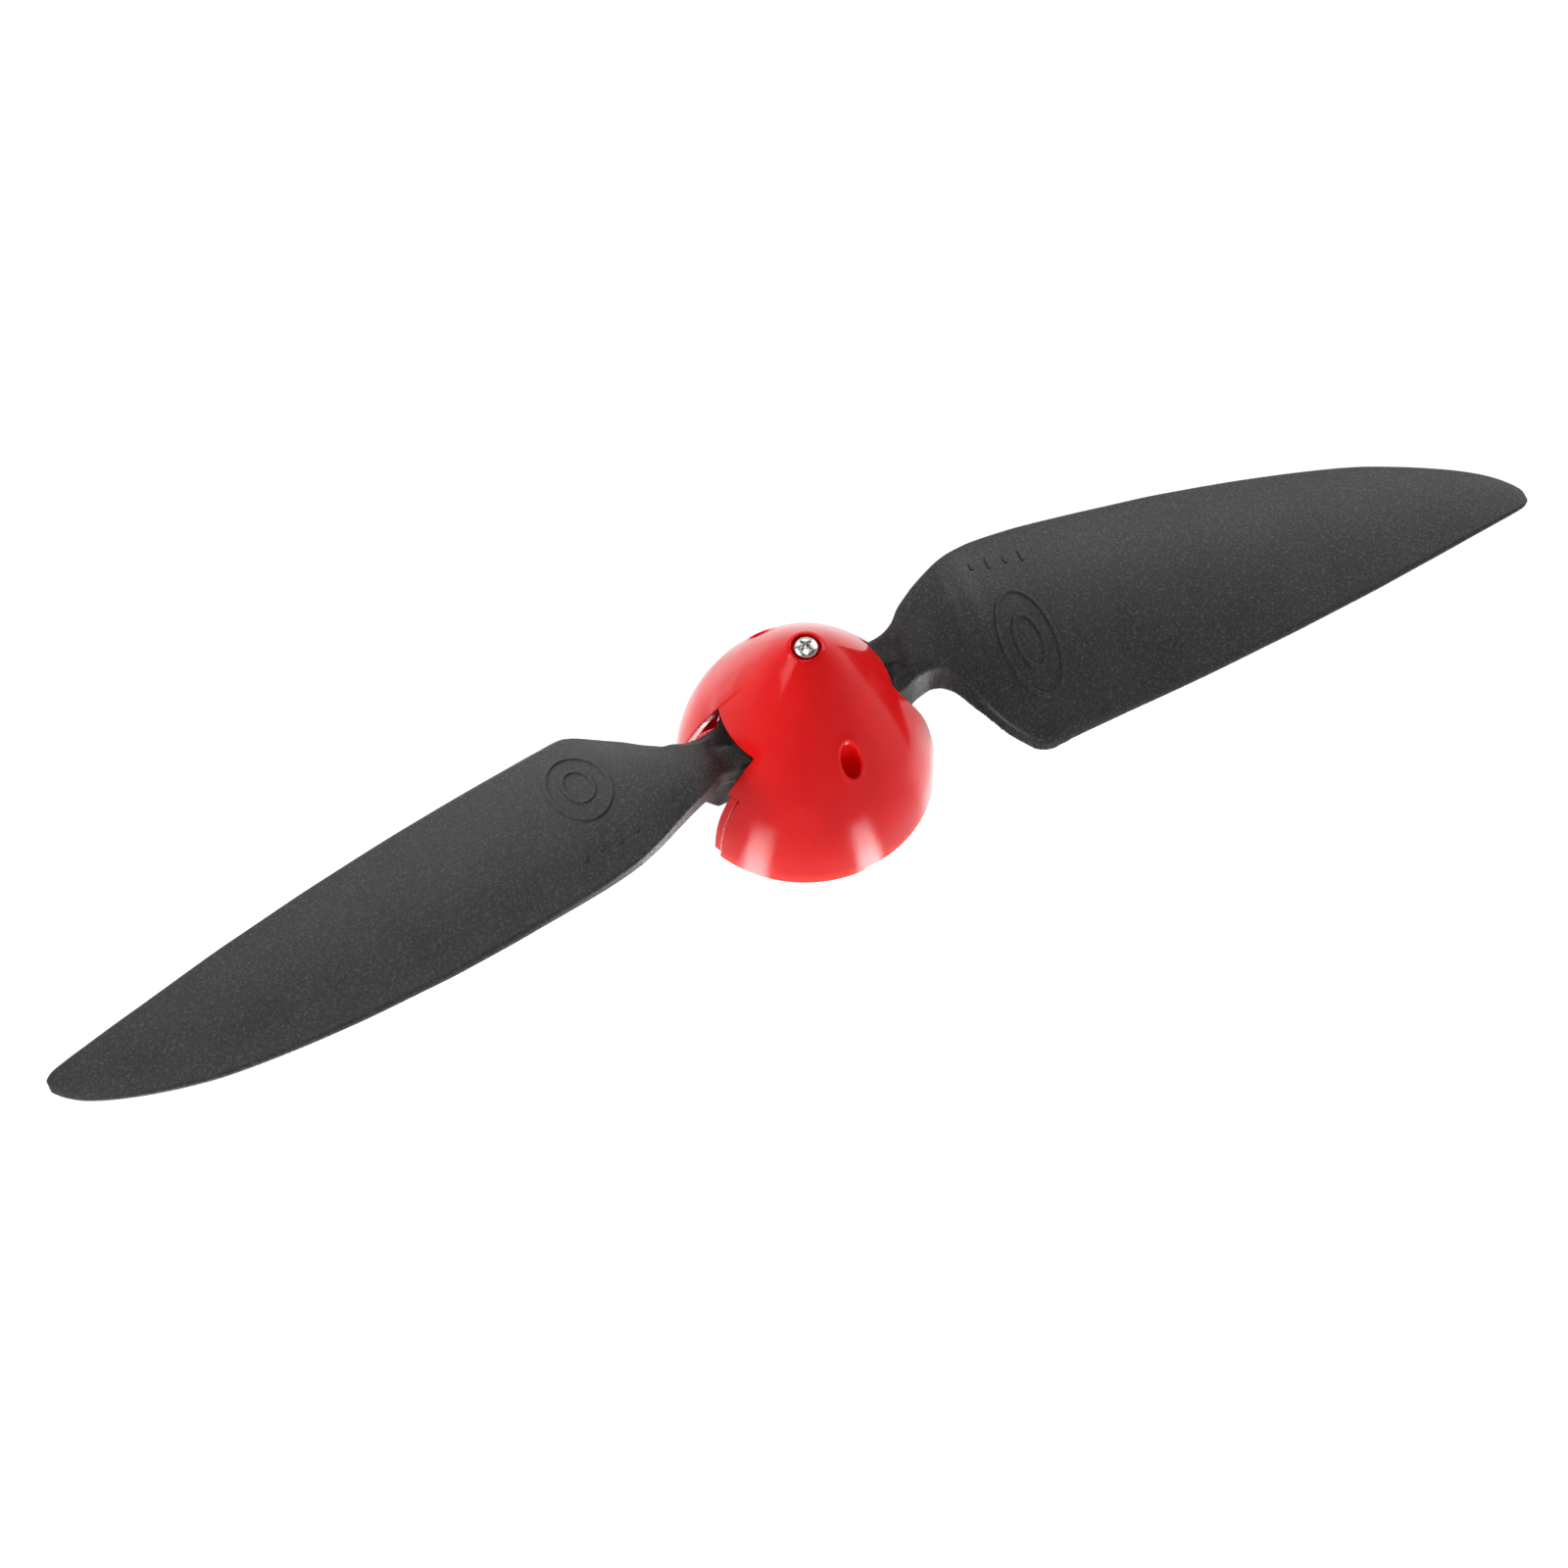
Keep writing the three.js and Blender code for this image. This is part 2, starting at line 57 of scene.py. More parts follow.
def net(f, lo, hi, h, steps=3):
    """Surface net of f = 0 in a box, every vertex then moved on to the surface. Millimetres."""
    ax = [np.arange(lo[i], hi[i] + h, h, dtype=F) for i in range(3)]
    V = f(ax[0][:, None, None], ax[1][None, :, None], ax[2][None, None, :])
    V = np.broadcast_to(V, (len(ax[0]), len(ax[1]), len(ax[2]))).astype(F)
    S = V < 0
    n = [s - 1 for s in S.shape]
    c = [S[i:n[0] + i, j:n[1] + j, k:n[2] + k] for i in (0, 1) for j in (0, 1) for k in (0, 1)]
    anyin = c[0].copy(); allin = c[0].copy()
    for q in c[1:]:
        anyin |= q; allin &= q
    act = anyin & ~allin
    I = np.argwhere(act)
    idx = np.full(act.shape, -1, np.int32)
    idx[act] = np.arange(len(I), dtype=np.int32)
    P = np.zeros((len(I), 3)); W = np.zeros(len(I))
    for a in range(3):
        b, d = [q for q in range(3) if q != a]
        for ob in (0, 1):
            for od in (0, 1):
                o0 = np.zeros(3, int); o0[b] = ob; o0[d] = od
                o1 = o0.copy(); o1[a] = 1
                A = I + o0; B = I + o1
                va = V[A[:, 0], A[:, 1], A[:, 2]]; vb = V[B[:, 0], B[:, 1], B[:, 2]]
                m = (va < 0) != (vb < 0)
                t = np.where(m, va / np.where(va - vb == 0, 1, va - vb), 0)
                pos = o0[None, :] + t[:, None] * (o1 - o0)[None, :]
                P[m] += pos[m]; W[m] += 1
    P = (I + P / W[:, None]) * h + np.array(lo)
    Q = []
    for a in range(3):
        b, d = (a + 1) % 3, (a + 2) % 3
        sl0 = [slice(None)] * 3; sl1 = [slice(None)] * 3
        sl0[a] = slice(0, n[a]); sl1[a] = slice(1, n[a] + 1)
        s0 = S[tuple(sl0)]; s1 = S[tuple(sl1)]
        e = np.argwhere(s0 != s1)
        e = e[(e[:, b] > 0) & (e[:, d] > 0) & (e[:, b] < n[b]) & (e[:, d] < n[d])]
        ins = s0[e[:, 0], e[:, 1], e[:, 2]]
        def cell(ob, od):
            k = e.copy(); k[:, b] -= ob; k[:, d] -= od
            return idx[k[:, 0], k[:, 1], k[:, 2]]
        q = np.stack([cell(1, 1), cell(0, 1), cell(0, 0), cell(1, 0)], 1)
        q[~ins] = q[~ins][:, ::-1]
        Q.append(q)
    Q = np.concatenate(Q); Q = Q[(Q >= 0).all(1)]
    def grad(P, e=0.02):
        g = np.empty_like(P)
        for a in range(3):
            d = np.zeros(3); d[a] = e
            A = P + d; B = P - d
            g[:, a] = (f(A[:, 0], A[:, 1], A[:, 2]) - f(B[:, 0], B[:, 1], B[:, 2])) / (2 * e)
        return g
    P0 = P.copy()
    for _ in range(steps):
        v = f(P[:, 0], P[:, 1], P[:, 2]); g = grad(P)
        s = v / np.maximum((g * g).sum(1), 0.05)
        step = -s[:, None] * g
        L = np.linalg.norm(step, axis=1, keepdims=True)
        step *= np.minimum(1, h * 0.5 / np.maximum(L, 1e-9))
        P = P + step
        off = P - P0; L = np.linalg.norm(off, axis=1, keepdims=True)
        P = P0 + off * np.minimum(1, h * 0.8 / np.maximum(L, 1e-9))
    N = grad(P, 0.03); N /= np.maximum(np.linalg.norm(N, axis=1, keepdims=True), 1e-9)
    return P, Q, N

def mesh_object(name, P, Q, N=None):
    """P in millimetres from the rim plane's centre."""
    me = bpy.data.meshes.new(name)
    P = np.asarray(P, float) + np.array([0, 0, REAR])
    me.vertices.add(len(P)); me.vertices.foreach_set("co", (P * MM).astype(F).ravel())
    Q = np.asarray(Q, np.int32); k = Q.shape[1]
    me.loops.add(Q.size); me.loops.foreach_set("vertex_index", Q.ravel())
    me.polygons.add(len(Q)); me.polygons.foreach_set("loop_start", np.arange(len(Q), dtype=np.int32) * k)
    me.polygons.foreach_set("loop_total", np.full(len(Q), k, np.int32))
    me.polygons.foreach_set("use_smooth", np.ones(len(Q), bool))
    me.update(calc_edges=True); me.validate(clean_customdata=False)
    if N is not None and len(me.vertices) == len(N):
        me.normals_split_custom_set_from_vertices([tuple(v) for v in N])
    ob = bpy.data.objects.new(name, me)
    bpy.context.scene.collection.objects.link(ob)
    return ob

def half(PQN):
    P, Q, N = PQN
    m = np.array([-1, -1, 1.0])
    return P * m, Q, (None if N is None else N * m)

def piece(name, PQN, body, slot, mat, *nodes):
    ob = mesh_object(name, *PQN)
    ob.data.materials.append(mat)
    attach(ob, body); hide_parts(*nodes)
    return ob

# ------------------------------------------------------------------ materials
def nodes_of(name):
    m = bpy.data.materials.new(name); m.use_nodes = True
    nt = m.node_tree
    for n in list(nt.nodes):
        nt.nodes.remove(n)
    out = nt.nodes.new("ShaderNodeOutputMaterial")
    bs = nt.nodes.new("ShaderNodeBsdfPrincipled")
    nt.links.new(bs.outputs[0], out.inputs[0])
    co = nt.nodes.new("ShaderNodeTexCoord")
    return m, nt, bs, co

def mapping(nt, co, scale, rot=(0, 0, 0)):
    mp = nt.nodes.new("ShaderNodeMapping")
    mp.inputs["Scale"].default_value = scale; mp.inputs["Rotation"].default_value = rot
    nt.links.new(co.outputs["Object"], mp.inputs["Vector"])
    return mp.outputs[0]

def noise(nt, vec, scale, detail=3, rough=0.5, distortion=0.0):
    n = nt.nodes.new("ShaderNodeTexNoise")
    n.inputs["Scale"].default_value = scale; n.inputs["Detail"].default_value = detail
    n.inputs["Roughness"].default_value = rough; n.inputs["Distortion"].default_value = distortion
    nt.links.new(vec, n.inputs["Vector"])
    return n.outputs["Fac"]

def ramp(nt, fac, stops):
    r = nt.nodes.new("ShaderNodeValToRGB")
    e = r.color_ramp.elements
    while len(e) < len(stops):
        e.new(0.5)
    for el, (p, c) in zip(e, stops):
        el.position = p
        el.color = (c, c, c, 1) if not isinstance(c, (tuple, list)) else (*c, 1)
    nt.links.new(fac, r.inputs["Fac"])
    return r.outputs["Color"]

def remap(nt, fac, lo, hi, a=0.0, b=1.0):
    n = nt.nodes.new("ShaderNodeMapRange")
    n.inputs["From Min"].default_value = a; n.inputs["From Max"].default_value = b
    n.inputs["To Min"].default_value = lo; n.inputs["To Max"].default_value = hi
    nt.links.new(fac, n.inputs["Value"])
    return n.outputs["Result"]

def math_node(nt, op, a, b=None):
    n = nt.nodes.new("ShaderNodeMath"); n.operation = op
    for i, v in enumerate((a, b)):
        if v is None:
            continue
        if isinstance(v, (int, float)):
            n.inputs[i].default_value = v
        else:
            nt.links.new(v, n.inputs[i])
    return n.outputs[0]

def mix_colour(nt, fac, a, b):
    n = nt.nodes.new("ShaderNodeMix"); n.data_type = "RGBA"
    if isinstance(fac, (int, float)):
        n.inputs[0].default_value = fac
    else:
        nt.links.new(fac, n.inputs[0])
    for i, v in ((6, a), (7, b)):
        if isinstance(v, tuple):
            n.inputs[i].default_value = (*v, 1)
        else:
            nt.links.new(v, n.inputs[i])
    return n.outputs[2]

def bump(nt, height, strength, distance, normal=None):
    b = nt.nodes.new("ShaderNodeBump")
    b.inputs["Strength"].default_value = strength; b.inputs["Distance"].default_value = distance
    nt.links.new(height, b.inputs["Height"])
    if normal is not None:
        nt.links.new(normal, b.inputs["Normal"])
    return b.outputs["Normal"]

def red_plastic():
    m, nt, bs, co = nodes_of("spinner_red")
    obj = co.outputs["Object"]
    flow = noise(nt, mapping(nt, co, (900, 900, 120)), 1.0, 4, 0.6, 0.6)      # flow lines from the gate
    cloud = noise(nt, obj, 160, 2, 0.5)
    base = mix_colour(nt, remap(nt, cloud, 0, 1, 0.3, 0.7), (0.62, 0.0050, 0.0062), (0.70, 0.0075, 0.0085))
    pale = ramp(nt, flow, [(0.64, 0.0), (0.82, 0.05)])
    base = mix_colour(nt, pale, base, (0.86, 0.20, 0.17))
    # painted light: the lowest 2 mm above the rim plane is painted a lighter orange-red, standing in for light that
    # comes through the thin edge
    sep = nt.nodes.new("ShaderNodeSeparateXYZ"); nt.links.new(obj, sep.inputs[0])
    rim_glow_mask = remap(nt, sep.outputs["Z"], 1.0, 0.0, 0.0046, 0.0066)
    base = mix_colour(nt, rim_glow_mask, base, (0.92, 0.040, 0.022))
    nt.links.new(base, bs.inputs["Base Color"])
    # painted glow: a red emission inside the two screw holes stands in for light coming through the wall, and is
    # painted dimmer deeper down
    glow = None
    for k in (1, -1):
        ax = nt.nodes.new("ShaderNodeVectorMath"); ax.operation = "SUBTRACT"
        nt.links.new(obj, ax.inputs[0]); ax.inputs[1].default_value = (HOLE[0] * k * MM, -HOLE[1] * k * MM, 0)
        fl = nt.nodes.new("ShaderNodeVectorMath"); fl.operation = "MULTIPLY"
        nt.links.new(ax.outputs[0], fl.inputs[0]); fl.inputs[1].default_value = (1, 1, 0)
        le = nt.nodes.new("ShaderNodeVectorMath"); le.operation = "LENGTH"; nt.links.new(fl.outputs[0], le.inputs[0])
        g = remap(nt, le.outputs["Value"], 1.0, 0.0, 0.00136, 0.00150)
        glow = g if glow is None else math_node(nt, "ADD", glow, g)
    # painted shade: the glow fades towards the bottom of each hole
    depth = remap(nt, sep.outputs["Z"], 0.25, 1.0, 0.010, 0.022)
    bs.inputs["Emission Color"].default_value = (0.12, 0.0002, 0.0004, 1)
    nt.links.new(math_node(nt, "MULTIPLY", glow, depth), bs.inputs["Emission Strength"])
    bs.inputs["IOR"].default_value = 1.50
    bs.inputs["Specular IOR Level"].default_value = 0.18
    bs.inputs["Subsurface Weight"].default_value = 0.10
    bs.inputs["Subsurface Radius"].default_value = (1.0, 0.10, 0.06)
    bs.inputs["Subsurface Scale"].default_value = 0.0012
    scuff = noise(nt, mapping(nt, co, (2600, 500, 1500), (0.3, 0.5, 0.2)), 1.0, 3, 0.6)
    rough = math_node(nt, "ADD", remap(nt, noise(nt, obj, 420, 4, 0.6), 0.09, 0.19, 0.3, 0.7), ramp(nt, scuff, [(0.66, 0.0), (0.78, 0.14)]))
    nt.links.new(rough, bs.inputs["Roughness"])
    n1 = bump(nt, noise(nt, obj, 170, 2, 0.5), 0.30, 0.00022)                 # sink and mould waviness
    n2 = bump(nt, noise(nt, mapping(nt, co, (2200, 2200, 300)), 1.0, 3, 0.6), 0.12, 0.00006, n1)
    nt.links.new(n2, bs.inputs["Normal"])
    return m

def black_plastic():
    m, nt, bs, co = nodes_of("blade_black")
    obj = co.outputs["Object"]
    grain = noise(nt, obj, 3000, 3, 0.7)
    fine = noise(nt, obj, 8000, 2, 0.6)
    blot = noise(nt, obj, 120, 3, 0.5)
    base = mix_colour(nt, remap(nt, blot, 0, 1, 0.3, 0.7), (0.020, 0.020, 0.0205), (0.027, 0.0265, 0.0265))
    base = mix_colour(nt, ramp(nt, grain, [(0.50, 0.0), (0.72, 0.55)]), base, (0.115, 0.115, 0.116))
    nt.links.new(base, bs.inputs["Base Color"])
    nt.links.new(math_node(nt, "ADD", remap(nt, fine, 0.40, 0.56, 0.3, 0.7), remap(nt, blot, -0.03, 0.03, 0.3, 0.7)), bs.inputs["Roughness"])
    bs.inputs["IOR"].default_value = 1.50
    bs.inputs["Specular IOR Level"].default_value = 0.30
    n1 = bump(nt, grain, 0.75, 0.00008)
    n2 = bump(nt, fine, 0.35, 0.00003, n1)
    nt.links.new(n2, bs.inputs["Normal"])
    return m

def nylon():
    m, nt, bs, co = nodes_of("hub_black")
    obj = co.outputs["Object"]
    blot = noise(nt, obj, 300, 3, 0.5)
    nt.links.new(mix_colour(nt, blot, (0.016, 0.016, 0.017), (0.028, 0.028, 0.029)), bs.inputs["Base Color"])
    nt.links.new(remap(nt, noise(nt, obj, 1500, 3, 0.6), 0.32, 0.52, 0.3, 0.7), bs.inputs["Roughness"])
    nt.links.new(bump(nt, noise(nt, obj, 2500, 3, 0.6), 0.25, 0.00004), bs.inputs["Normal"])
    return m

def metal(name, dark, light, r0, r1, scale=1800, brush=(1, 1, 1), b=0.2):
    m, nt, bs, co = nodes_of(name)
    obj = co.outputs["Object"]
    bs.inputs["Metallic"].default_value = 1.0
    tint = noise(nt, obj, scale * 0.4, 3, 0.6)
    nt.links.new(mix_colour(nt, remap(nt, tint, 0, 1, 0.3, 0.7), dark, light), bs.inputs["Base Color"])
    brushed = noise(nt, mapping(nt, co, tuple(scale * q for q in brush)), 1.0, 4, 0.6)
    nt.links.new(remap(nt, brushed, r0, r1, 0.3, 0.7), bs.inputs["Roughness"])
    nt.links.new(bump(nt, brushed, b, 0.00002), bs.inputs["Normal"])
    return m

HOLE = (1.2, 10.5)
RED = red_plastic()
BLACK = black_plastic()
NYLON = nylon()
STEEL = metal("screw_steel", (0.60, 0.59, 0.56), (0.80, 0.79, 0.77), 0.14, 0.34, 2600, (1, 1, 0.6))
DARK = metal("dark_steel", (0.06, 0.06, 0.063), (0.12, 0.12, 0.125), 0.28, 0.5)
BRASS = metal("brass", (0.52, 0.34, 0.11), (0.70, 0.49, 0.19), 0.18, 0.36, 2200, (0.3, 0.3, 4.0))

# ------------------------------------------------------------------ spinner
SP_R, NOSE_Z, WALL = 16.25, 29.6, 1.2
SP_PROFILE = np.array([[0, SP_R], [3, 16.1], [6, 15.75], [9, 14.98], [12, 13.79], [15, 12.18],
                       [18, 10.42], [21, 8.5], [24, 6.45], [27, 4.2], [29.6, 1.95]])
SLOT_TOP, SLOT_LEAD, KEY_TOP = 17.4, 5.2, 11.6
SLOT_TRAIL = np.array([[-6, 10.7], [-1, 8.3], [9.0, 4.6], [13.7, 3.9], [17.4, 3.05], [30, 0.2]])   # height, reach in -Y
HX, HZ = 7.6, 11.5
HOLE_X, HOLE_Y, HOLE_R = 1.2, 10.5, 1.3

def smooth_table(T):
    """The table's columns as monotone cubic curves, sampled finely."""
    x = T[:, 0]; h = np.diff(x)
    xs = np.linspace(x[0], x[-1], 2400)
    out = [xs]
    k = np.clip(np.searchsorted(x, xs) - 1, 0, len(x) - 2)
    t = (xs - x[k]) / h[k]
    for c in range(1, T.shape[1]):
        y = T[:, c]; d = np.diff(y) / h
        m = np.zeros(len(x)); m[0], m[-1] = d[0], d[-1]
        same = d[:-1] * d[1:] > 0
        w1 = 2 * h[1:] + h[:-1]; w2 = h[1:] + 2 * h[:-1]
        m[1:-1][same] = (w1 + w2)[same] / (w1[same] / d[:-1][same] + w2[same] / d[1:][same])
        a, b = y[k], y[k + 1]
        out.append((2 * t**3 - 3 * t**2 + 1) * a + (t**3 - 2 * t**2 + t) * h[k] * m[k] + (-2 * t**3 + 3 * t**2) * b + (t**3 - t**2) * h[k] * m[k + 1])
    return np.array(out)

def spline_curve(T):
    """Radius and slope against height, with continuous slope, extended straight past both ends."""
    x, y = T[:, 0], T[:, 1]; n = len(x); h = np.diff(x)
    A = np.zeros((n, n)); r = np.zeros(n)
    A[0, 0] = A[-1, -1] = 1
    for i in range(1, n - 1):
        A[i, i - 1:i + 2] = h[i - 1], 2 * (h[i - 1] + h[i]), h[i]
        r[i] = 6 * ((y[i + 1] - y[i]) / h[i] - (y[i] - y[i - 1]) / h[i - 1])
    M = np.linalg.solve(A, r)
    xs = np.linspace(x[0], x[-1], 1500)
    k = np.clip(np.searchsorted(x, xs) - 1, 0, n - 2)
    p, q = x[k + 1] - xs, xs - x[k]
    ys = (M[k] * p**3 + M[k + 1] * q**3) / (6 * h[k]) + (y[k] / h[k] - M[k] * h[k] / 6) * p + (y[k + 1] / h[k] - M[k + 1] * h[k] / 6) * q
    ds = np.gradient(ys, xs)
    return np.concatenate([[-5.0], xs, [36.0]]), np.concatenate([[ys[0] - ds[0] * 5], ys, [ys[-1] + ds[-1] * (36 - x[-1])]]), np.concatenate([[ds[0]], ds, [ds[-1]]])
PZ, PR, PS = spline_curve(SP_PROFILE)

def bullet(x, y, z):
    """Distance from the outside of the spinner, negative inside."""
    R = np.interp(z, PZ, PR); s = np.interp(z, PZ, PS)
    return (length(x, y) - R) / np.sqrt(1 + s * s)

def step(v, a, b):
    t = np.clip((v - a) / (b - a), 0, 1)
    return t * t * (3 - 2 * t)

def slot_right(x, y, z):
    yt = np.interp(z, SLOT_TRAIL[:, 0], SLOT_TRAIL[:, 1])
    d = smax(smax(y - SLOT_LEAD, (-(y + yt)) * 0.97, 0.3), z - SLOT_TOP, 0.3)
    key = smax(np.maximum(y - SLOT_LEAD - 1.6, SLOT_LEAD - 1 - y), z - KEY_TOP, 0.2)
    return np.maximum(np.minimum(d, key), 3.4 - x)

def crease(x, y, z):
    """Shut line of the mould, a fine step that leaves the trailing top corner of each slot."""
    t = (z - 17.5) / 4.7
    off = -(y + 3.05 - 1.12 * t)
    return step(off, -0.14, 0.14) * (1 - step(off, 0.2, 2.6)) * step(x, 1.0, 3.0) * step(z, 15.2, 17.6) * (1 - step(t, 0.55, 1.1))

def cone(x, y, z):
    r = length(x, y)
    outer = bullet(x, y, z)
    outer = outer - 0.13 * crease(x, y, z) - 0.13 * crease(-x, -y, z)
    cavity = outer + WALL
    outer = smax(outer, z - NOSE_Z, 0.7)
    # the rim stands a little lower over the two quarters that carry the keys
    az = np.arctan2(-y, x)
    up = step(np.sin(az - 1.50), -0.02, 0.02) * step(np.cos(az), -0.9, 0.9)
    nick = np.exp(-((np.arctan2(np.sin(az - 1.51), np.cos(az - 1.51)) * 16.2) / 0.32) ** 2) + np.exp(-((np.arctan2(np.sin(az - 1.51 - math.pi), np.cos(az - 1.51 - math.pi)) * 16.2) / 0.32) ** 2)
    front = step(np.sin(2 * az - 3.02), -0.06, 0.06)
    rim = 0.34 * (1 - front) + 0.30 * nick
    outer = smax(outer, rim - z, 0.25)
    boss = np.maximum(r - 2.5, 20.1 - z)
    cavity = smax(cavity, -boss, 0.8)
    for k in (1, -1):
        cavity = smax(cavity, -smax(length(x - HOLE_X * k, y + HOLE_Y * k) - 2.35, 4.6 - z, 0.2), 0.7)
    s = smax(outer, -cavity, 0.25)
    tool = np.minimum(r - 1.2, np.maximum(r - 1.84, 28.5 - z))
    s = smax(s, -tool, 0.14)
    s = smax(s, -slot_right(x, y, z), 0.16)
    s = smax(s, -slot_right(-x, -y, z), 0.16)
    for k in (1, -1):
        hr = length(x - HOLE_X * k, y + HOLE_Y * k)
        lip = np.exp(-((hr - 1.58) / 0.22) ** 2) * step(z, 12.0, 14.0)
        s = s - 0.07 * lip
        s = smax(s, -np.maximum(hr - HOLE_R, 4 - z), 0.2)
    return s

H = 0.17
PQN = net(cone, (-17, -17, -0.6), (17, 17, 30.4), H, 4)
piece("spinner_shell", PQN, "hub", "spinner_red", RED, "spinner_cone")

def backplate(x, y, z):
    r = length(x, y)
    disc = smax(smax(r - (14.65 - 0.25 * z), z - 2.6, 0.3), 1.0 - z, 0.3)
    disc = smax(disc, 5.35 - r, 0.25)
    # a raised ring gives the plate its stiffness
    disc = smin(disc, smax(np.abs(r - 7.6) - 0.35, np.abs(z - 2.7) - 0.35, 0.2), 0.3)
    def gap(x, y):
        return np.maximum(np.maximum(8.2 - x, y - 9.4), -8.9 - y)
    disc = smax(disc, -gap(x, y), 0.25)
    disc = smax(disc, -gap(-x, -y), 0.25)
    def tab(x, y):
        # stands up in the recess beside the slot, a little below the outside
        g = bullet(x, y, z)
        skin = smax(g + 0.36, -g - 1.55, 0.2)
        up = smax(smax(skin, smax(y - (SLOT_LEAD + 1.35), SLOT_LEAD + 0.25 - y, 0.2), 0.2), smax(z - KEY_TOP + 0.3, 0.4 - z, 0.2), 0.2)
        foot = smax(smax(smax(y - (SLOT_LEAD + 1.35), SLOT_LEAD + 0.25 - y, 0.2), np.maximum(7.8 - x, x - 13.9), 0.2), smax(z - 2.6, 1.0 - z, 0.2), 0.2)
        return np.maximum(smin(up, foot, 0.3), 7.5 - x)
    s = smin(disc, smin(tab(x, y), tab(-x, -y), 0.1), 0.3)
    for k in (1, -1):
        s = smax(s, 1.3 - length(x - HOLE_X * k, y + HOLE_Y * k), 0.2)
    return s

piece("spinner_back", net(backplate, (-16.4, -15.4, 0), (16.4, 15.4, 12), 0.17), "hub", "spinner_red", RED, "spinner_backplate")

# ------------------------------------------------------------------ hub and its hardware
def cyl_z(x, y, z, r, z0, z1, k=0.25, cx=0.0, cy=0.0):
    return smax(length(x - cx, y - cy) - r, np.abs(z - (z0 + z1) / 2) - (z1 - z0) / 2, k)

def cyl_y(x, y, z, r, y0, y1, k=0.2, cx=HX, cz=HZ):
    return smax(length(x - cx, z - cz) - r, np.abs(y - (y0 + y1) / 2) - (y1 - y0) / 2, k)

def box_sdf(x, y, z, b, k=0.3):
    d = smax(np.abs(x - (b[0] + b[1]) / 2) - (b[1] - b[0]) / 2, np.abs(y - (b[2] + b[3]) / 2) - (b[3] - b[2]) / 2, k)
    return smax(d, np.abs(z - (b[4] + b[5]) / 2) - (b[5] - b[4]) / 2, k)

def hexagon(a, b, af, turn=0.0):
    d = None
    for i in range(6):
        t = turn + i * math.pi / 3
        q = a * math.cos(t) + b * math.sin(t) - af
        d = q if d is None else np.maximum(d, q)
    return d

def yoke(x, y, z):
    s = cyl_z(x, y, z, 5.6, -REAR, 0, 0.4)
    s = smin(s, cyl_z(x, y, z, 4.1, -1, 15.0, 0.4), 0.4)
    s = smin(s, cyl_z(x, y, z, 7.2, -1.2, 0.7, 0.3), 0.5)
    for k in (1, -1):
        s = smin(s, box_sdf(x, y, z, (1.2 * k - 2.2, 1.2 * k + 2.2, min(-HOLE_Y * k, 0), max(-HOLE_Y * k, 0), -1.2, 0.7)), 0.3)
        s = smin(s, cyl_z(x, y, z, 2.2, -2.6, 0.7, 0.3, 1.2 * k, -HOLE_Y * k), 0.3)
        y0, y1 = (2.9, 4.4) if k > 0 else (-4.4, -2.9)
        xa = np.abs(x)
        arm = smin(cyl_y(xa, y, z, 2.4, y0, y1, 0.3), box_sdf(x, y, z, (-HX, HX, y0, y1, HZ - 2.4, HZ + 2.4)), 0.05)
        arm = smin(arm, box_sdf(x, y, z, (-5.4, 5.4, y0, y1, 3.0, HZ)), 0.5)
        arm = smin(arm, box_sdf(x, y, z, (-2.4, 2.4, y0, y1, 0.4, 4)), 0.5)
        s = smin(s, arm, 0.5)
    s = smax(s, -cyl_z(x, y, z, 3.05, -REAR - 1, 9.4, 0.2), 0.2)
    s = smax(s, -cyl_z(x, y, z, 2.3, 9, 17, 0.2), 0.2)
    for k in (1, -1):
        s = smax(s, length(x - HX * k, z - HZ) * -1 + 1.2, 0.12)
        pocket = np.maximum(hexagon(x - HX * k, z - HZ, 2.28), np.abs(y * k - 4.4) - 0.62)
        s = smax(s, -pocket, 0.1)
        s = smax(s, 1.0 - length(x - 1.2 * k, y + HOLE_Y * k), 0.15)
    s = smax(s, 1.2 - length(x, z + 2.6), 0.15)
    return s

piece("yoke", net(yoke, (-10.4, -13, -4.8), (10.4, 13, 15.4), 0.18), "hub", "hub_black", NYLON, "hub_yoke")

def insert(x, y, z):
    r = length(x, y)
    knurl = 0.07 * np.cos(28 * np.arctan2(y, x)) * step(np.abs(z - 4.5), 3.2, 2.8)
    s = smax(r - 2.76 + knurl, np.abs(z - 2.425) - 6.675, 0.3)
    s = smax(s, 1.6 - r, 0.25)
    return smax(s, 1.2 - length(x, z + 2.6), 0.12)
piece("insert", net(insert, (-3, -3, -4.6), (3, 3, 9.4), 0.11), "hub", "brass", BRASS, "shaft_insert")

def thread(r, ang, t, pitch, depth):
    """Height of a V thread at angle ang and distance t along the axis."""
    p = (t / pitch - ang / (2 * math.pi)) % 1.0
    return depth * (np.abs(p - 0.5) * 2 - 0.5)

def grub(x, y, z):
    zz = z + 2.6
    r = length(x, zz)
    s = smax(r - 0.90 - thread(r, np.arctan2(zz, x), y, 0.4, 0.09), np.abs(y + 3.7) - 1.8, 0.15)
    return smax(s, -np.maximum(hexagon(x, zz, 0.45), y + 4.4), 0.05)
g = net(grub, (-1.1, -5.7, -3.7), (1.1, -1.7, -1.5), 0.06)
piece("grub_a", g, "hub", "dark_steel", DARK, "grub_screw_a")
piece("grub_b", half(g), "hub", "dark_steel", DARK, "grub_screw_b")

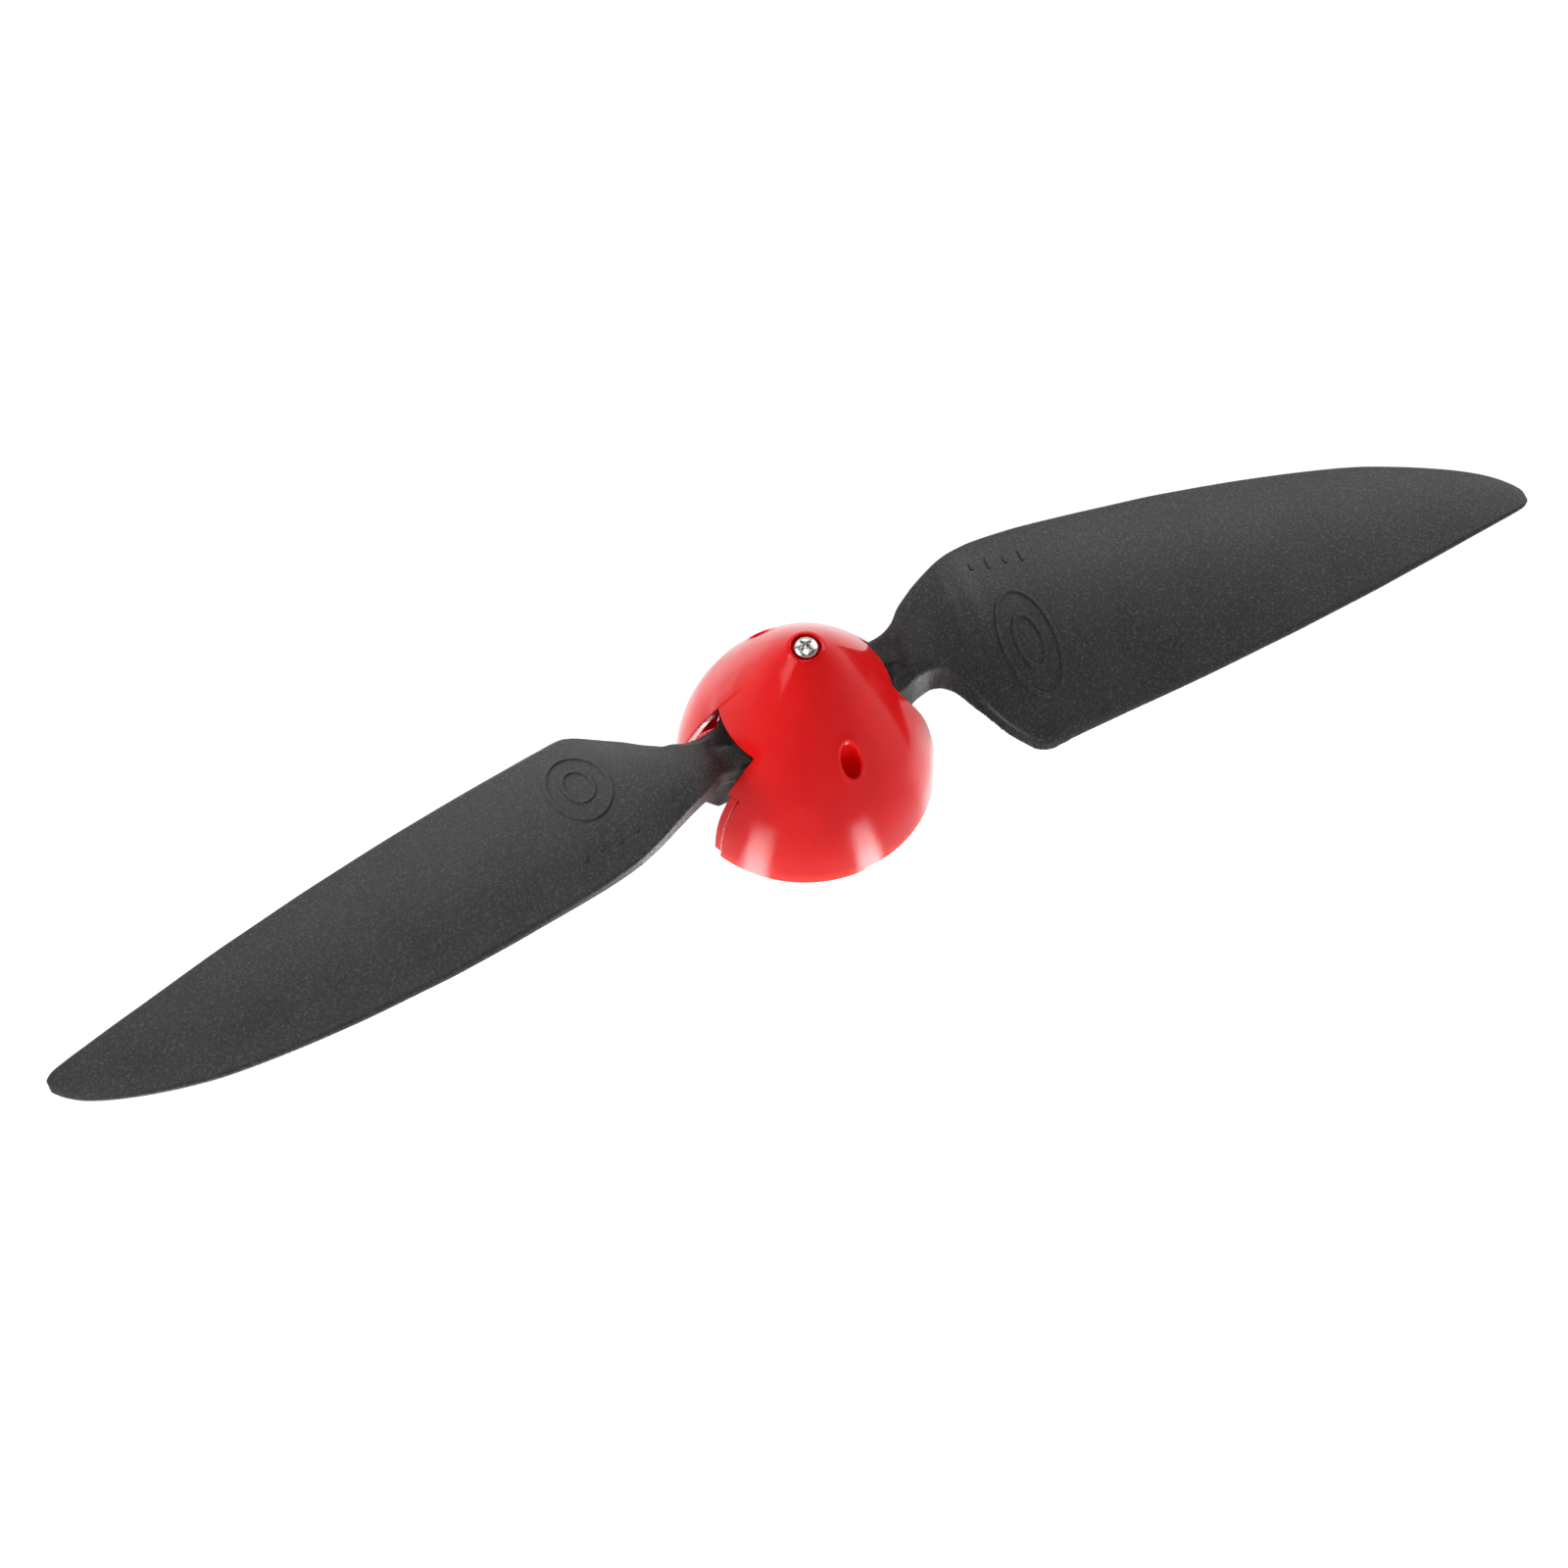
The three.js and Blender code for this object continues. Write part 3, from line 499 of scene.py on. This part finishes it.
def post(x, y, z):
    r = length(x, y)
    s = cyl_z(x, y, z, 1.98, 9.7, 19.8, 0.3)
    collar = smax(hexagon(x, y, 2.57, math.pi / 6), np.abs(z - 16.9) - 0.9, 0.12)
    collar = smax(collar, length(r, (z - 16.9) * 1.6) - 3.15, 0.15)
    s = smin(s, collar, 0.15)
    return smax(s, -np.maximum(r - 1.2, 11.5 - z), 0.15)
piece("post", net(post, (-3.2, -3.2, 9.4), (3.2, 3.2, 20.1), 0.1), "hub", "brass", BRASS, "spinner_post")

def ring(x, y, z):
    return smax(cyl_z(x, y, z, 3.3, 15.3, 15.75, 0.15), 2.3 - length(x, y), 0.12)
piece("washer", net(ring, (-3.5, -3.5, 15.1), (3.5, 3.5, 15.95), 0.09), "hub", "screw_steel", STEEL, "post_washer")

def screw(hr, hh, sr, L, k=1.0):
    """Pan head with a cross recess. Seat at t = 0, head towards +t."""
    def f(a, b, t):
        r = length(a, b)
        ball = length(a, b, (t - hh + hr * 1.45)) - hr * 1.45
        head = smax(smax(ball, r - hr, 0.3 * k), -t, 0.12)
        sh = r - sr + 0.06 - thread(r, np.arctan2(b, a), t, 0.4, 0.11) * step(-t, 0.5, 1.0)
        sh = smax(sh, np.abs(t + L / 2 - 0.2) - L / 2 - 0.2, 0.25)
        sh = smax(sh, (r + (-(t) - L)) * 0.7 - sr * 0.45, 0.1)
        s = smin(head, sh, 0.1)
        # cross recess: four tapered wings round a tapered core
        u = hh - t
        wing = lambda p, q: smax(np.abs(q) - (0.115 * hr + 0.02) + 0.05 * u, np.abs(p) - 0.64 * hr + 0.42 * u, 0.08)
        cut = smin(smin(wing(a, b), wing(b, a), 0.10), (r - 0.27 * hr + 0.22 * u), 0.18)
        cut = smax(cut, u - hh * 0.72, 0.12)
        return smax(s, -cut, 0.09)
    return f

head = screw(1.58, 1.15, 0.95, 14.5)
turn = math.radians(24)
def nose(x, y, z):
    a = x * math.cos(turn) + y * math.sin(turn); b = -x * math.sin(turn) + y * math.cos(turn)
    return head(a, b, z - 28.75)
P = net(nose, (-1.8, -1.8, 14.0), (1.8, 1.8, 30.1), 0.055)
piece("nose_bolt", P, "hub", "screw_steel", STEEL, "nose_screw")

small = screw(1.75, 1.15, 0.8, 4.4)
P = net(lambda x, y, z: small(x - 1.2, y + HOLE_Y, z - 2.85), (-0.8, -12.6, -1.8), (3.2, -8.6, 4.2), 0.07)
piece("plate_screw_a", P, "hub", "screw_steel", STEEL, "backplate_screw_a")
piece("plate_screw_b", half(P), "hub", "screw_steel", STEEL, "backplate_screw_b")

pin = screw(1.72, 1.0, 0.95, 10.6)
P = net(lambda x, y, z: pin(x - HX, z - HZ, -5.15 - y), (HX - 2, -6.4, HZ - 2), (HX + 2, 5.7, HZ + 2), 0.075)
piece("hinge_bolt_right", P, "hub", "screw_steel", STEEL, "hinge_screw_right")
piece("hinge_bolt_left", half(P), "hub", "screw_steel", STEEL, "hinge_screw_left")

def nut(x, y, z):
    a, b = x - HX, z - HZ
    s = smax(hexagon(a, b, 1.99), np.abs(y - 4.7) - 0.7, 0.08)
    s = smax(s, length(a, b, (y - 4.7) * 1.9) - 2.42, 0.12)
    return smax(s, 1.15 - length(a, b), 0.12)
P = net(nut, (HX - 2.5, 3.8, HZ - 2.5), (HX + 2.5, 5.6, HZ + 2.5), 0.08)
piece("hex_nut_right", P, "hub", "screw_steel", STEEL, "hinge_nut_right")
piece("hex_nut_left", half(P), "hub", "screw_steel", STEEL, "hinge_nut_left")

def shim(x, y, z):
    return smax(smax(length(x - HX, z - HZ) - 2.1, np.abs(y + 4.775) - 0.175, 0.1), 1.2 - length(x - HX, z - HZ), 0.1)
P = net(shim, (HX - 2.3, -5.1, HZ - 2.3), (HX + 2.3, -4.4, HZ + 2.3), 0.07)
piece("shim_right", P, "hub", "screw_steel", STEEL, "hinge_washer_right")
piece("shim_left", half(P), "hub", "screw_steel", STEEL, "hinge_washer_left")

def bush(x, y, z):
    a = length(x - HX, z - HZ)
    return smax(smax(a - 1.75, np.abs(y) - 2.5, 0.15), 1.2 - a, 0.15)
P = net(bush, (HX - 2, -2.8, HZ - 2), (HX + 2, 2.8, HZ + 2), 0.09)
piece("bush_right", P, "right_blade", "brass", BRASS, "blade_bush_right")
piece("bush_left", half(P), "left_blade", "brass", BRASS, "blade_bush_left")

# ------------------------------------------------------------------ blades
STATIONS = np.array([
    [11.0, 4.7, 13.9, -2.3, 12.1, 0.1, 2.6, 3.7, 4.8, 0.9],
    [12.5, 4.95, 14.9, -2.3, 12, 0.15, 2.6, 4.35, 6, 1.2],
    [14.0, 5.45, 15.9, -2.2, 12.65, 0.3, 2.6, 4.35, 5.3, 1.4],
    [15.5, 6.75, 16.6, -2.2, 13.12, 0.5, 2.6, 4.35, 4.55, 1.2],
    [17.0, 7.65, 17.1, -2.9, 13.32, 0.8, 2.6, 4.1, 3.45, 1],
    [18.5, 8.45, 17.5, -4.6, 12.55, 1.2, 2.6, 3.65, 1.75, 1.2],
    [20.0, 9.2, 17.6, -6.8, 10.9, 1.55, 2.6, 3.6, 1.4, 1.4],
    [21.5, 9.95, 17.6, -8.8, 9.4, 1.85, 2.5, 3.6, 1.2, 1.2],
    [23.0, 10.65, 17.4, -10.6, 7.9, 2.1, 2.4, 3.5, 1.1, 1],
    [24.5, 11.25, 17.05, -12, 7, 2.25, 2.3, 3.5, 1.05, 0.8],
    [26.0, 11.7, 16.6, -13.15, 6.35, 2.3, 2.2, 3.4, 1, 0.6],
    [27.5, 12.1, 16.15, -13.55, 6.2, 2.3, 2.1, 3.35, 0.95, 0.5],
    [31.0, 12.6, 15.15, -13.15, 6.1, 2.25, 2, 3.2, 0.9, 0.45],
    [35.0, 12.92, 14.1, -12.7, 5.75, 2.15, 1.9, 3.1, 0.9, 0.4],
    [40.0, 13.1, 12.7, -12.15, 5.25, 2, 1.8, 2.95, 0.85, 0.35],
    [46.0, 13.25, 10.95, -11.45, 4.55, 1.85, 1.6, 2.75, 0.85, 0.3],
    [52.0, 13.25, 9.3, -10.7, 3.85, 1.65, 1.5, 2.6, 0.8, 0.3],
    [58.0, 13, 7.7, -9.8, 3.1, 1.5, 1.4, 2.4, 0.8, 0.25],
    [64.0, 12.65, 6.05, -8.9, 2.3, 1.3, 1.3, 2.2, 0.8, 0.25],
    [70.0, 12.1, 4.45, -7.85, 1.45, 1.1, 1.2, 2, 0.75, 0.2],
    [76.0, 11.35, 2.9, -6.8, 0.6, 0.95, 1.15, 1.8, 0.75, 0.2],
    [82.0, 10.35, 1.35, -5.6, -0.3, 0.75, 1.05, 1.6, 0.7, 0.2],
    [87.0, 9, 0.05, -4.55, -1.1, 0.6, 1, 1.45, 0.7, 0.15],
    [91.5, 7.45, -1.05, -3.6, -1.75, 0.45, 0.9, 1.25, 0.65, 0.1],
    [95.5, 5.75, -2, -2.75, -2.4, 0.3, 0.85, 1.1, 0.65, 0.1],
    [98.5, 4.05, -2.75, -2.1, -2.9, 0.18, 0.8, 0.95, 0.6, 0.1],
    [100.6, 2.2, -3.25, -1.5, -3.3, 0.08, 0.7, 0.8, 0.6, 0.05],
    [101.6, 0.9, -3.5, -0.75, -3.5, 0.02, 0.6, 0.65, 0.55, 0]])
BLOCK = np.array([  # x, lower z, upper z, half width
    [HX, 8.4, 14.6, 2.6], [10.5, 8.6, 14.6, 2.6], [12.5, 9.0, 14.6, 2.2], [14.5, 10.0, 15.2, 1.6],
    [16.5, 11.2, 15.4, 1.5], [18.5, 12.0, 15.2, 1.4], [20.5, 12.6, 14.9, 1.3], [23.0, 12.8, 14.0, 1.1]])

ST = smooth_table(STATIONS); BL = smooth_table(BLOCK)
def col(T, i, x):
    return np.interp(x, T[0], T[i]).astype(F) if np.ndim(x) else float(np.interp(x, T[0], T[i]))

def foil_parts(x, y):
    yl, zl, yt, zt, cam, tl, tm, tt = (col(ST, i, x) for i in range(1, 9))
    ch = yl - yt
    t = np.clip((yl - y) / ch, 0, 1)
    mid = zl + (zt - zl) * t + cam * np.sin(math.pi * np.power(t, 0.85))
    th = np.where(t < 0.35, tl + (tm - tl) * np.sin(np.minimum(t / 0.35, 1) * math.pi / 2), tt + (tm - tt) * np.cos(np.clip((t - 0.35) / 0.65, 0, 1) * math.pi / 2))
    return yl, yt, tl, tt, t, mid, th, ch

def foil(x, y, z):
    yl, yt, tl, tt, t, mid, th, ch = foil_parts(x, y)
    # thin edges are rounded over, thick ones stay blunt with a small radius, and the
    # trailing edge leans in towards the upper face
    bev = col(ST, 9, x); zt = col(ST, 4, x)
    crisp = step(x, 22.0, 46.0)
    rl = np.minimum(np.minimum(tl * 0.5, 0.34 + 0.4 * crisp), ch * 0.45); rt = np.minimum(np.minimum(tt * 0.5, 0.36 + 0.1 * crisp), ch * 0.45)
    q = (np.abs(z - mid) - th * 0.5) * 0.92
    lean = bev / tt
    a_t = (yt + lean * np.clip(z - (zt - tt * 0.5), 0, tt * 1.6) - y) / np.sqrt(1 + lean * lean)
    def rounded(a, r):
        return length(np.maximum(a + r, 0), np.maximum(q + r, 0)) + np.minimum(np.maximum(a + r, q + r), 0) - r
    d = np.maximum(rounded(y - yl, rl), rounded(a_t, rt))
    return smax(smax(d, x - 101.55, 0.2), 11.0 - x, 0.6)

WEB = np.array([[8.0, 10.6], [10.75, 10.1], [12.0, 8.3], [13.9, 8.1], [15.2, 9.8], [16.5, 11.7], [18.0, 14.2], [20.0, 17.0]])   # x, lower edge

def blade(x, y, z):
    f = foil(x, y, z)
    z0, z1, w = (col(BL, i, x) for i in (1, 2, 3))
    b = smax(np.abs(y + 0.05) - w, np.abs(z - (z0 + z1) / 2) - (z1 - z0) / 2, 0.8)
    b = smax(b, np.maximum(x - 23.5, HX - x), 1.2)
    b = np.where(x < 12, smax(b, np.abs(y) - w, 0.3), b)
    s = smin(b, f, 0.9)
    hr = length(x - HX, z - HZ)
    kn = smax(hr - 3.2, np.abs(y) - 2.6, 0.35)
    s = smin(s, kn, 0.5)
    s = np.where(x < 11.0, np.maximum(s, np.abs(y) - 2.6), s)
    # shoulder over the yoke's cheek
    sh = smax(box_sdf(x, y, z, (8.75, 13.4, 1.5, 4.8, 14.35, 16.25), 0.7), 2.95 - hr, 0.3)
    s = smin(s, sh, 0.7)
    # deep web under the leading side of the root, outboard of the cheek
    zl = np.interp(x, WEB[:, 0], WEB[:, 1])
    web = smax((zl - z) * 0.62, smax(smax(np.abs(y - 2.9) - 1.92, z - 15.9, 0.5), np.maximum(10.8 - x, x - 17.6), 0.5), 0.5)
    s = smin(s, web, 0.45)
    s = smax(s, 2.0 - hr, 0.2)
    return np.where((np.abs(y) > 2.7), np.maximum(s, 2.9 - hr), s)

def top_z(x, y):
    yl, yt, tl, tt, t, mid, th, ch = foil_parts(np.asarray(x, float), np.asarray(y, float))
    return mid + th * 0.5

def strip(path, width, height, closed=True, sink=0.12):
    """A low rounded bead on the blade's face along a path of (x, y)."""
    p = np.asarray(path, float); n = len(p)
    nxt = np.roll(p, -1, 0); prv = np.roll(p, 1, 0)
    if not closed:
        nxt[-1] = p[-1]; prv[0] = p[0]
    t = nxt - prv; t /= np.linalg.norm(t, axis=1, keepdims=True)
    s = np.stack([-t[:, 1], t[:, 0]], 1)
    prof = [(-0.5, -sink), (-0.5, 0.25 * height), (-0.36, 0.85 * height), (-0.2, height), (0.2, height), (0.36, 0.85 * height), (0.5, 0.25 * height), (0.5, -sink)]
    m = len(prof); P = []
    for u, v in prof:
        q = p + s * (u * width)
        P.append(np.column_stack([q, top_z(q[:, 0], q[:, 1]) + v]))
    P = np.stack(P, 1).reshape(-1, 3)
    Q = []
    for i in range(n if closed else n - 1):
        j = (i + 1) % n
        for k in range(m):
            l = (k + 1) % m
            Q.append((i * m + k, i * m + l, j * m + l, j * m + k))
    if not closed:
        for base, flip in ((0, 1), ((n - 1) * m, 0)):
            for k in range(1, m // 2):
                q = (base + k - 1, base + k, base + m - 1 - k, base + m - k)
                Q.append(q if flip == 0 else q[::-1])
    return P, np.array(Q)

hb = 0.23
print("blade net")
P, Q, N = net(blade, (4.0, -14.2, -4.6), (102.2, 14.2, 20.2), hb, 4)
# two plain raised ovals, one inside the other, and a row of mould marks
parts = []
a = np.linspace(0, 2 * math.pi, 97)[:-1]
ct = (29.6, -2.2)
parts.append(strip(np.column_stack([ct[0] + 3.6 * np.cos(a), ct[1] + 6.2 * np.sin(a)]), 0.55, 0.22))
parts.append(strip(np.column_stack([ct[0] + 1.7 * np.cos(a), ct[1] + 3.1 * np.sin(a)]), 0.55, 0.22))
for k in range(4):
    q = np.linspace(-1, 1, 7)
    parts.append(strip(np.column_stack([26.4 + 2.3 * k + 0.0 * q, 8.3 + (0.75 if k % 2 else 0.45) * q]), 0.46, 0.17, False))
for p, q in parts:
    Q = np.concatenate([Q, q + len(P)])
    P = np.concatenate([P, p])
def blade_normals(P, Q):
    me_n = np.zeros_like(P)
    fn = np.cross(P[Q[:, 2]] - P[Q[:, 0]], P[Q[:, 3]] - P[Q[:, 1]])
    for k in range(4):
        np.add.at(me_n, Q[:, k], fn)
    return me_n / np.maximum(np.linalg.norm(me_n, axis=1, keepdims=True), 1e-12)
NB = blade_normals(P, Q); NB[:len(N)] = N
piece("right_airfoil", (P, Q, NB), "right_blade", "blade_black", BLACK, "blade_right")
piece("left_airfoil", half((P, Q, NB)), "left_blade", "blade_black", BLACK, "blade_left")

# ------------------------------------------------------------------ floor, light, camera
def floor():
    n = 48; S = 3.0
    me = bpy.data.meshes.new("floor")
    v = []; f = []
    for i in range(n + 1):
        for j in range(n + 1):
            v.append((-S + 2 * S * i / n, -S + 2 * S * j / n, 0.0))
    for i in range(n):
        for j in range(n):
            a = i * (n + 1) + j
            f.append((a, a + n + 1, a + n + 2, a + 1))
    me.from_pydata(v, [], f); me.update()
    ob = bpy.data.objects.new("floor", me)
    bpy.context.scene.collection.objects.link(ob)
    # low enough for the blades to fold all the way down above it
    ob.location = (0, 0, -0.09)
    m, nt, bs, co = nodes_of("floor_white")
    obj = co.outputs["Object"]
    nt.links.new(mix_colour(nt, noise(nt, obj, 3, 2, 0.5), (0.10, 0.10, 0.10), (0.12, 0.12, 0.12)), bs.inputs["Base Color"])
    bs.inputs["Roughness"].default_value = 0.8
    bs.inputs["Specular IOR Level"].default_value = 0.1
    bs.inputs["Emission Color"].default_value = (1, 1, 1, 1)
    # two bright bounce cards lie flush in the white floor, either side of the front
    sep = nt.nodes.new("ShaderNodeSeparateXYZ"); nt.links.new(obj, sep.inputs[0])
    ang = math_node(nt, "ARCTAN2", sep.outputs["Y"], sep.outputs["X"])
    rad = nt.nodes.new("ShaderNodeVectorMath"); rad.operation = "LENGTH"; nt.links.new(obj, rad.inputs[0])
    total = 0.97
    # seen from the spinner each card keeps its bearing, so its edges curve in towards the shaft
    inv = math_node(nt, "DIVIDE", 1.0, math_node(nt, "MAXIMUM", math_node(nt, "SUBTRACT", rad.outputs["Value"], 0.02), 0.03))
    spread = math_node(nt, "ADD", math_node(nt, "MULTIPLY", inv, 0.0275), 1.0)
    for centre, bend, width, power in ((-142, -0.68, 9.0, 9.0), (-79, 0.93, 8.5, 10.0), (118, 0.0, 22.0, 0.5), (-20, 1.78, 16.0, 1.1)):
        c = math_node(nt, "ADD", math_node(nt, "MULTIPLY", inv, math.radians(bend)), math.radians(centre))
        d = math_node(nt, "DIVIDE", math_node(nt, "ABSOLUTE", math_node(nt, "SUBTRACT", ang, c)), spread)
        total = math_node(nt, "ADD", math_node(nt, "MULTIPLY", math_node(nt, "MULTIPLY", remap(nt, d, 1.0, 0.0, math.radians(width * 0.45), math.radians(width)), power), remap(nt, rad.outputs["Value"], 1.0, 0.0, 0.176, 0.305)), total)
    nt.links.new(total, bs.inputs["Emission Strength"])
    me.materials.append(m)
floor()

def area(name, pos, target, size, power, colour=(1, 1, 1)):
    l = bpy.data.lights.new(name, "AREA"); l.shape = "RECTANGLE"
    l.size, l.size_y = size; l.energy = power; l.color = colour
    ob = bpy.data.objects.new(name, l); bpy.context.scene.collection.objects.link(ob)
    ob.location = pos
    ob.rotation_euler = (Vector(target) - Vector(pos)).to_track_quat("-Z", "Y").to_euler()
    return ob

C0 = Vector((0, 0, REAR * MM))
area("soft_left", (-0.75, 0.10, 0.42), C0, (0.7, 0.5), 4.6)
area("soft_right", (0.80, 0.30, 0.45), C0, (0.7, 0.5), 5.0)
area("soft_back", (0.05, 0.95, 0.55), C0, (1.1, 0.5), 3.4)
area("top_soft", (-0.15, -0.25, 1.15), C0, (0.45, 0.45), 4.2)

world = bpy.data.worlds.new("studio"); bpy.context.scene.world = world
world.use_nodes = True
nt = world.node_tree
bg = nt.nodes["Background"]
tc = nt.nodes.new("ShaderNodeTexCoord"); sep = nt.nodes.new("ShaderNodeSeparateXYZ")
nt.links.new(tc.outputs["Generated"], sep.inputs[0])
r = nt.nodes.new("ShaderNodeValToRGB")
e = r.color_ramp.elements
e[0].position = 0.0; e[0].color = (1.0, 1.0, 1.0, 1)
e[1].position = 1.0; e[1].color = (0.05, 0.05, 0.05, 1)
m1 = e.new(0.35); m1.color = (0.50, 0.50, 0.50, 1)
m2 = e.new(0.70); m2.color = (0.10, 0.10, 0.10, 1)
nt.links.new(sep.outputs["Z"], r.inputs["Fac"]); nt.links.new(r.outputs["Color"], bg.inputs["Color"])
bg.inputs["Strength"].default_value = 0.7

# the camera: azimuth and elevation of the view, distance, and focal length
AZ, EL, ROLL, DIST, FOCAL, U0, V0 = -0.44545, 1.03986, 0.01086, 899.98, 7386.5, 821.17, 785.53
v = Vector((math.sin(AZ) * math.cos(EL), -math.cos(AZ) * math.cos(EL), math.sin(EL)))
fw = -v
right = fw.cross(Vector((0, 0, 1))).normalized(); up = right.cross(fw)
r2 = right * math.cos(ROLL) + up * math.sin(ROLL); u2 = -right * math.sin(ROLL) + up * math.cos(ROLL)
a = Vector(((U0 - 800) / FOCAL, -(V0 - 800) / FOCAL, 1.0)).normalized()
k = Vector((0, 0, 1)).cross(a)
rot = Matrix.Rotation(math.asin(k.length), 3, k.normalized())
base = Matrix((r2, u2, fw))
rows = rot @ base
cam = bpy.data.cameras.new("camera"); co = bpy.data.objects.new("camera", cam)
bpy.context.scene.collection.objects.link(co)
x, y, zf = rows[0], rows[1], rows[2]
co.matrix_world = Matrix(((x[0], y[0], -zf[0], 0), (x[1], y[1], -zf[1], 0), (x[2], y[2], -zf[2], 0), (0, 0, 0, 1)))
co.location = C0 + v * DIST * MM
cam.sensor_width = 36.0; cam.lens = FOCAL / 1600 * 36.0
cam.clip_start = 0.01; cam.clip_end = 20
bpy.context.scene.camera = co
bpy.context.scene.view_settings.view_transform = "Standard"
